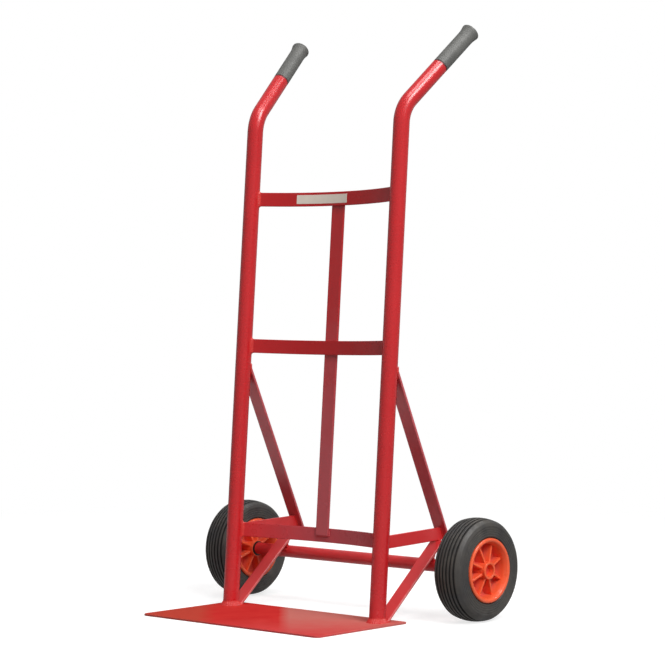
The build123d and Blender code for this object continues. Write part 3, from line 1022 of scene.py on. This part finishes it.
bar_seams = bmesh.new()
for height, bow in BARS.values():
    radius, half_angle, _ = bar_arc(bow)
    matrix = level_plane(height)
    wall_angle = half_angle - TUBE_RADIUS / radius
    for _, side in SIDES:
        start = matrix @ bar_point(bow, radius, side * wall_angle).to_3d()
        way = matrix.to_3x3() @ Vector((-side * cos(wall_angle), sin(wall_angle), 0))
        across = matrix.to_3x3() @ Vector((side * sin(wall_angle), cos(wall_angle), 0))
        stile_fillet(bar_seams, side, start, way, across * BAR_THICKNESS / 2, STILE_WAY * BAR_HEIGHT / 2)
piece("crossbar_welds", bar_seams, WELD_PAINT, "frame", "frame_paint")

strip_seams = bmesh.new()
for bar_name, (height, _) in BARS.items():
    matrix = level_plane(height)
    seam_depth = STRIP_FRONT
    seam_low = -STRIP_SEAM_REACH
    if bar_name == "lower":
        seam_depth = STRIP_FRONT + STRIP_THICKNESS
        seam_low = STRIP_FOOT_MARGIN - BAR_HEIGHT / 2
        ends = [Vector((across * STRIP_WIDTH / 2, seam_depth, seam_low)) for across in (-1, 1)]
        weld(strip_seams, [matrix @ end for end in ends], BAR_WELD)
    for across in (-1, 1):
        ends = [Vector((across * STRIP_WIDTH / 2, seam_depth, rise)) for rise in (seam_low, STRIP_SEAM_REACH)]
        weld(strip_seams, [matrix @ end for end in ends], BAR_WELD)
piece("strip_welds", strip_seams, STRIP_PAINT, "frame", "frame_paint")

frame_seams = bmesh.new()
for _, side in SIDES:
    to_world = side_plane(side)
    middle = to_world @ ((member_outline[0] + member_outline[3]) / 2).to_3d()
    way = Vector((0, 1, member_slope)).normalized()
    edge = Vector((MEMBER_THICKNESS / 2, 0, 0))
    stile_fillet(frame_seams, side, middle, way, edge, Vector((0, 0, MEMBER_HEIGHT / 2)))
    middle = to_world @ (brace_end + brace_step / 2).to_3d()
    way = to_world.to_3x3() @ -brace_rise.to_3d()
    edge = Vector((STRAP_WIDTH / 2 - STRAP_EDGE, 0, 0))
    across = to_world.to_3x3() @ Vector((brace_rise.y, -brace_rise.x, 0)) * (STRAP_THICKNESS / 2)
    stile_seam(frame_seams, side, middle, way, edge, across, STRAP_WELD)
    for out in (-1, 1):
        level = out * MEMBER_THICKNESS / 2
        for ends in ((brace_foot, member_end), (lower_front, lower_head)):
            weld(frame_seams, [to_world @ Vector((*spot, level)) for spot in ends], BAR_WELD)
    for along in (hanger_front, hanger_back):
        for spot in ((along, tube_top(along)), brace_rear(along)):
            ends = [to_world @ Vector((*spot, out * STRAP_WIDTH / 2)) for out in (-1, 1)]
            weld(frame_seams, ends, BAR_WELD)
piece("side_frame_welds", frame_seams, WELD_PAINT, "frame", "frame_paint")


# Blank label, bent to the front of the upper bar

bm = bmesh.new()
label_height, label_bow = BARS["upper"]
label_arc = bar_arc(label_bow)[0] - BAR_THICKNESS / 2
label_columns = []
for turn in quarter_turns(LABEL_CORNER_STEPS):
    label_columns.append((LABEL_CORNER * (1 - cos(turn)), LABEL_HEIGHT / 2 - LABEL_CORNER * (1 - sin(turn))))
label_length = LABEL_END - LABEL_START
inner_columns = [(label_length * step / LABEL_STEPS, LABEL_HEIGHT / 2) for step in range(1, LABEL_STEPS)]
label_columns += inner_columns + [(label_length - along, half) for along, half in reversed(label_columns)]
label_rings = []
for along, half in label_columns:
    turn = (LABEL_START + along) / label_arc
    corners = []
    for depth, rise in ((0, -1), (0, 1), (LABEL_THICKNESS, 1), (LABEL_THICKNESS, -1)):
        flat = bar_point(label_bow, label_arc - depth, turn)
        corners.append(bm.verts.new(level_plane(label_height) @ Vector((*flat, rise * half))))
    label_rings.append(corners)
skin(bm, label_rings)
bm.faces.new(label_rings[0])
bm.faces.new(label_rings[-1])
piece("blank_label", bm, LABEL_FILM, "frame", "frame_paint")


# Wheels

def wheel_plane(body, side):
    """Plane through the middle of a wheel, with its normal outwards along the axle."""
    return place(WHEEL_PLACES[body], (0, side, 0), (side, 0, 0))


def mirrored(corners):
    """A half outline of (along, radius, rounding) corners with its mirror image."""
    return list(corners) + [(-along, radius, rounding) for along, radius, rounding in reversed(corners)]


rim_corners = mirrored((
    (HUB_HALF, HUB_BORE, HUB_BORE_EDGE),
    (HUB_HALF, HUB_RADIUS, HUB_EDGE),
    (WEB_HALF, HUB_RADIUS, HUB_EDGE),
    (WEB_HALF, BARREL_INSIDE + BARREL_DRAFT * WEB_HALF / BOWL_FOOT, WEB_FILLET),
    (BOWL_FOOT, BARREL_INSIDE + BARREL_DRAFT, BOWL_FILLET),
    (RIM_HALF, FLANGE_BORE, FLANGE_BORE_EDGE),
    (RIM_HALF, FLANGE_RADIUS, FLANGE_EDGE),
    (FLANGE_INNER, FLANGE_RADIUS, FLANGE_INNER_EDGE),
    (FLANGE_INNER, BARREL_RADIUS, BARREL_EDGE),
))
rib_corners = (
    (HUB_RADIUS - RIB_BITE, WEB_HALF - RIB_BITE),
    (BARREL_INSIDE + RIB_BITE, WEB_HALF - RIB_BITE),
    (BARREL_INSIDE + RIB_BITE, RIM_HALF - RIB_BARREL_DROP),
    (HUB_RADIUS - RIB_BITE, HUB_HALF - RIB_HUB_DROP),
)


def crown(along):
    """Radius of the tread at a distance from its middle, without its grooves."""
    return WHEEL_RADIUS - TREAD_CROWN * (along / TREAD_HALF)**2


bead_radius = FLANGE_RADIUS + BEAD_GAP
tread_corners = []
for groove in range(GROOVE_COUNT // 2, GROOVE_COUNT):
    spot = (groove - (GROOVE_COUNT - 1) / 2) * GROOVE_PITCH
    tread_corners += [
        (spot - GROOVE_WIDTH / 2, crown(spot - GROOVE_WIDTH / 2), GROOVE_EDGE),
        (spot, crown(spot) - GROOVE_DEPTH, GROOVE_EDGE),
        (spot + GROOVE_WIDTH / 2, crown(spot + GROOVE_WIDTH / 2), GROOVE_EDGE),
    ]
side_corners = []
side_middle = (WHEEL_RADIUS - SHOULDER_HEIGHT + bead_radius + BEAD_STEP) / 2
for step in range(SIDE_RING_COUNT):
    spot = side_middle - (step - (SIDE_RING_COUNT - 1) / 2) * SIDE_RING_PITCH
    side_corners += [
        (TYRE_HALF, spot + SIDE_RING_WIDTH / 2, SIDE_RING_EDGE),
        (TYRE_HALF - SIDE_RING_DEPTH, spot, SIDE_RING_EDGE),
        (TYRE_HALF, spot - SIDE_RING_WIDTH / 2, SIDE_RING_EDGE),
    ]
tyre_corners = mirrored(tread_corners + [
    (TREAD_HALF, crown(TREAD_HALF), TREAD_EDGE),
    (SHOULDER_HALF, WHEEL_RADIUS - SHOULDER_DROP, SHOULDER_EDGE),
    (TYRE_HALF, WHEEL_RADIUS - SHOULDER_HEIGHT, TYRE_SIDE_EDGE),
    *side_corners,
    (TYRE_HALF, bead_radius + BEAD_STEP, BEAD_EDGE),
    (TYRE_HALF - BEAD_STEP, bead_radius, BEAD_FOOT_EDGE),
    (FLANGE_INNER, bead_radius, 0),
    (FLANGE_INNER, BARREL_RADIUS, 0),
])

for side_name, side in SIDES:
    body = f"{side_name}_wheel"
    matrix = wheel_plane(body, side)

    bm = bmesh.new()
    lathe(bm, round_corners(tyre_corners), matrix, WHEEL_SEGMENTS)
    # Faces down in the tread's grooves take the darker rubber: painted shade, with some dirt.
    to_wheel = matrix.inverted()
    for face in bm.faces:
        spot = to_wheel @ face.calc_center_median()
        depth = crown(spot.z) - spot.xy.length
        face.material_index = int(abs(spot.z) < TREAD_HALF and GROOVE_LIP < depth < 2 * GROOVE_DEPTH)
    tyre = piece(f"{side_name}_tyre_tread", bm, RUBBER, body, "tyre_rubber", f"{side_name}_tyre")
    tyre.data.materials.append(GROOVE_RUBBER)

    bm = bmesh.new()
    lathe(bm, round_corners(rim_corners, steps=RIM_CORNER_STEPS), matrix, WHEEL_SEGMENTS)
    for rib in range(RIB_COUNT):
        turn = RIB_PHASE + 2 * pi * rib / RIB_COUNT
        outwards = matrix.to_3x3() @ Vector((cos(turn), sin(turn), 0))
        for face in (-1, 1):
            along = matrix.to_3x3() @ Vector((0, 0, face))
            rib_plane = place(matrix.translation, outwards, outwards.cross(along))
            slab(bm, rib_corners, rib_plane, RIB_THICKNESS, RIB_EDGE)
    piece(f"{side_name}_rim_moulding", bm, RIM_PLASTIC[side_name], body, "rim_plastic", f"{side_name}_rim")

    bm = bmesh.new()
    cap_low, cap_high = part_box(f"{side_name}_hub_cap")
    cap_radius = (cap_high.z - cap_low.z) / 2
    cap_face = max(abs(cap_low.x), abs(cap_high.x)) - abs(matrix.translation.x)
    cap_mouth = cap_face - (cap_high.x - cap_low.x)
    cap_profile = [(cap_mouth, 0), (cap_mouth, cap_radius)]
    for turn in quarter_turns(CAP_CORNER_STEPS):
        cap_profile.append((cap_face - CAP_EDGE * (1 - sin(turn)), cap_radius - CAP_EDGE * (1 - cos(turn))))
    cap_dish = cap_face - CAP_DISH
    cap_profile += [(cap_face, cap_radius * CAP_DISH_TOP), (cap_dish, cap_radius * CAP_DISH_FOOT)]
    cap_profile.append((cap_dish, 0))
    lathe(bm, cap_profile, matrix, SMALL_SEGMENTS)
    piece(f"{side_name}_hub_plug", bm, CAP_PLASTIC, body, "rim_plastic", f"{side_name}_hub_cap")


# Small parts that keep their CAD shape

FINISHES = {
    "frame_paint": PAINT,
    "zinc_steel": ZINC,
    "grip_vinyl": VINYL,
    "tyre_rubber": RUBBER,
    "rim_plastic": CAP_PLASTIC,
    "bush_nylon": NYLON,
}
for entry in frame["record"]["subparts"]:
    mesh = frame["nodes"][entry["node"]].data
    mesh.materials.clear()
    mesh.materials.append(FINISHES[entry["material_slot"]])
# The inner washers take the near-black: painted shade in the gap beside each hub
for side_name, _ in SIDES:
    frame["nodes"][f"{side_name}_inner_washer"].data.materials[0] = GAP_SHADE_STEEL


# Floor, world, lamps and camera

def seen_directly(tree):
    """Value of 1 for rays that show a surface in the picture, in gloss or through glass."""
    rays = tree.nodes.new("ShaderNodeLightPath")
    first = tree.nodes.new("ShaderNodeMath")
    first.operation = "MAXIMUM"
    tree.links.new(rays.outputs["Is Camera Ray"], first.inputs[0])
    tree.links.new(rays.outputs["Is Glossy Ray"], first.inputs[1])
    both = tree.nodes.new("ShaderNodeMath")
    both.operation = "MAXIMUM"
    tree.links.new(first.outputs[0], both.inputs[0])
    tree.links.new(rays.outputs["Is Transmission Ray"], both.inputs[1])
    return both.outputs[0]


FLOOR_RADIUS = 9.0
FLOOR_SEGMENTS = 96
FLOOR_ALBEDO = 0.28
FLOOR_GLOW = 0.74
FLOOR_SHADE = 0.45
FADE_START = 0.9
FADE_END = 2.4

floor_material = bpy.data.materials.new("white_studio_floor")
floor_material.use_nodes = True
tree = floor_material.node_tree
tree.nodes.clear()
output = tree.nodes.new("ShaderNodeOutputMaterial")
matte = tree.nodes.new("ShaderNodeBsdfDiffuse")
matte.inputs["Color"].default_value = (FLOOR_ALBEDO, FLOOR_ALBEDO, FLOOR_ALBEDO, 1)
shade = tree.nodes.new("ShaderNodeBsdfDiffuse")
shade.inputs["Color"].default_value = (FLOOR_SHADE, FLOOR_SHADE, FLOOR_SHADE, 1)
glow = tree.nodes.new("ShaderNodeEmission")
glow.inputs["Strength"].default_value = FLOOR_GLOW
near = tree.nodes.new("ShaderNodeAddShader")
tree.links.new(shade.outputs[0], near.inputs[0])
tree.links.new(glow.outputs[0], near.inputs[1])
white = tree.nodes.new("ShaderNodeEmission")
white.inputs["Strength"].default_value = 1.0
spots = tree.nodes.new("ShaderNodeTexCoord")
distance = tree.nodes.new("ShaderNodeVectorMath")
distance.operation = "LENGTH"
tree.links.new(spots.outputs["Object"], distance.inputs[0])
fade = tree.nodes.new("ShaderNodeMapRange")
fade.interpolation_type = "SMOOTHSTEP"
fade.inputs["From Min"].default_value = FADE_START
fade.inputs["From Max"].default_value = FADE_END
tree.links.new(distance.outputs["Value"], fade.inputs["Value"])
shown = tree.nodes.new("ShaderNodeMixShader")
tree.links.new(fade.outputs["Result"], shown.inputs[0])
tree.links.new(near.outputs[0], shown.inputs[1])
tree.links.new(white.outputs[0], shown.inputs[2])
whole = tree.nodes.new("ShaderNodeMixShader")
tree.links.new(seen_directly(tree), whole.inputs[0])
tree.links.new(matte.outputs[0], whole.inputs[1])
tree.links.new(shown.outputs[0], whole.inputs[2])
tree.links.new(whole.outputs[0], output.inputs["Surface"])

bm = bmesh.new()
bmesh.ops.create_circle(bm, cap_ends=True, segments=FLOOR_SEGMENTS, radius=FLOOR_RADIUS)
floor_mesh = bpy.data.meshes.new("studio_floor")
bm.to_mesh(floor_mesh)
bm.free()
floor_mesh.materials.append(floor_material)
floor = bpy.data.objects.new("studio_floor", floor_mesh)
bpy.context.scene.collection.objects.link(floor)

AMBIENT = 0.13
world = bpy.data.worlds.new("white_studio")
bpy.context.scene.world = world
world.use_nodes = True
tree = world.node_tree
tree.nodes.clear()
output = tree.nodes.new("ShaderNodeOutputWorld")
ambient = tree.nodes.new("ShaderNodeBackground")
ambient.inputs["Strength"].default_value = AMBIENT
white = tree.nodes.new("ShaderNodeBackground")
white.inputs["Strength"].default_value = 1.0
for background in (ambient, white):
    background.inputs["Color"].default_value = (1, 1, 1, 1)
whole = tree.nodes.new("ShaderNodeMixShader")
tree.links.new(seen_directly(tree), whole.inputs[0])
tree.links.new(ambient.outputs[0], whole.inputs[1])
tree.links.new(white.outputs[0], whole.inputs[2])
tree.links.new(whole.outputs[0], output.inputs["Surface"])

# Each lamp has a way from the aim, a distance, a size and a power. The last two values say whether it lights
# the object and whether it shows in its gloss.
AIM = Vector((0, 0.05, 0.55))
LAMPS = {
    "key": ((0.75, -0.26, 0.61), 6.0, 3.6, 320.0, True, False),
    "top": ((0.05, -0.15, 0.98), 5.0, 2.6, 90.0, True, False),
    "rear": ((-0.62, 0.72, 0.30), 5.0, 3.0, 60.0, True, False),
    "spark": ((0.640, 0.034, 0.768), 3.7, 1.70, 190.0, False, True),
    "bowl": ((0.23, 0.469, 0.853), 3.3, 0.60, 50.0, False, True),
    "ceiling": ((0.196, -0.122, 0.973), 3.5, 1.40, 55.0, False, True),
}
for lamp_name, (way, reach, size, power, lights, shows) in LAMPS.items():
    lamp = bpy.data.lights.new(f"{lamp_name}_lamp", "AREA")
    lamp.shape = "DISK"
    lamp.size = size
    lamp.energy = power
    holder = bpy.data.objects.new(f"{lamp_name}_lamp", lamp)
    bpy.context.scene.collection.objects.link(holder)
    way = Vector(way).normalized()
    holder.location = AIM + way * reach
    holder.rotation_euler = way.to_track_quat("Z", "Y").to_euler()
    holder.visible_diffuse = lights
    holder.visible_camera = False
    holder.visible_glossy = shows

PICTURE_WIDTH = 665
FOCAL_PIXELS = 2240
SENSOR = 36.0
CAMERA_PLACE = (2.975, -3.241, 0.5976)
CAMERA_PITCH = radians(0.54)
CAMERA_YAW = radians(41.76)

camera_data = bpy.data.cameras.new("photo_camera")
camera_data.sensor_width = SENSOR
camera_data.lens = SENSOR * FOCAL_PIXELS / PICTURE_WIDTH
camera = bpy.data.objects.new("photo_camera", camera_data)
bpy.context.scene.collection.objects.link(camera)
camera.location = CAMERA_PLACE
camera.rotation_euler = (pi / 2 - CAMERA_PITCH, 0, CAMERA_YAW)
bpy.context.scene.camera = camera
bpy.context.scene.view_settings.view_transform = "Standard"
